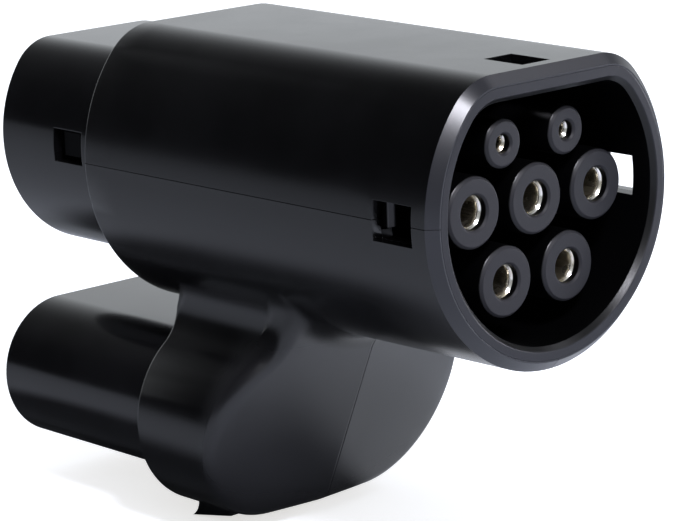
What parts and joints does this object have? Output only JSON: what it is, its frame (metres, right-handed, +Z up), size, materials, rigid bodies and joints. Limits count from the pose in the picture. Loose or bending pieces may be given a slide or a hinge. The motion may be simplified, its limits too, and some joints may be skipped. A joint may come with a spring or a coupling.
{
  "type": "electric vehicle charging adapter",
  "caption": "Direct-current charging adapter: D-shaped tube with a recessed contact face in front, a round and a stadium-shaped pin block behind, and a keeled pod underneath.",
  "frame": {"origin": "centre of the front ring's plane, on the axis of the middle (earth) contact", "axes": "+Y from the front ring to the rear blocks, +Z up with the flat of the outline on top, +X to the right of a viewer who faces the front ring"},
  "size_m": [0.0676, 0.1359, 0.1014],
  "materials": {
    "housing": "satin black moulded plastic",
    "matt_ring": "fine matt dark grey plastic",
    "insulator": "dark grey heat-proof plastic",
    "inner_plate": "plain grey plastic",
    "rear_blocks": "black plastic, glossier than the housing",
    "silver_plate": "silver-plated copper alloy",
    "copper": "bare copper strap",
    "steel": "plated steel",
    "lever_grey": "grey plastic"
  },
  "bodies": {
    "housing": {"upper_shell": "housing", "lower_shell_left": "housing", "lower_shell_right": "housing", "front_shroud": "matt_ring", "contact_block": "insulator", "power_sleeves": "insulator", "signal_sleeves": "insulator", "contact_retainer": "inner_plate", "rear_pin_block": "rear_blocks", "dc_pin_block": "rear_blocks", "earth_socket": "silver_plate", "pilot_socket": "silver_plate", "proximity_socket": "silver_plate", "power_socket_left": "silver_plate", "power_socket_right": "silver_plate", "power_socket_lower_left": "silver_plate", "power_socket_lower_right": "silver_plate", "earth_pin": "silver_plate", "pilot_pin": "silver_plate", "proximity_pin": "silver_plate", "dc_pin_left": "silver_plate", "dc_pin_right": "silver_plate", "bus_bar_left": "copper", "bus_bar_right": "copper", "bus_bar_screws": "steel", "dc_pin_nuts": "steel", "housing_screws": "steel", "lock_pivot": "steel"},
    "lock_lever": {"lock_lever": "lever_grey", "lock_spring": "steel"}
  },
  "joints": [
    {"name": "lock_lever_hinge", "type": "hinge", "parent": "housing", "child": "lock_lever", "pos_m": [-0.0258, 0.052, 0.00085], "axis": [0, 0, 1], "range_deg": [0, 3.8], "stiffness_Nm_per_rad": 0.2, "springref_deg": -5.73}
  ]
}
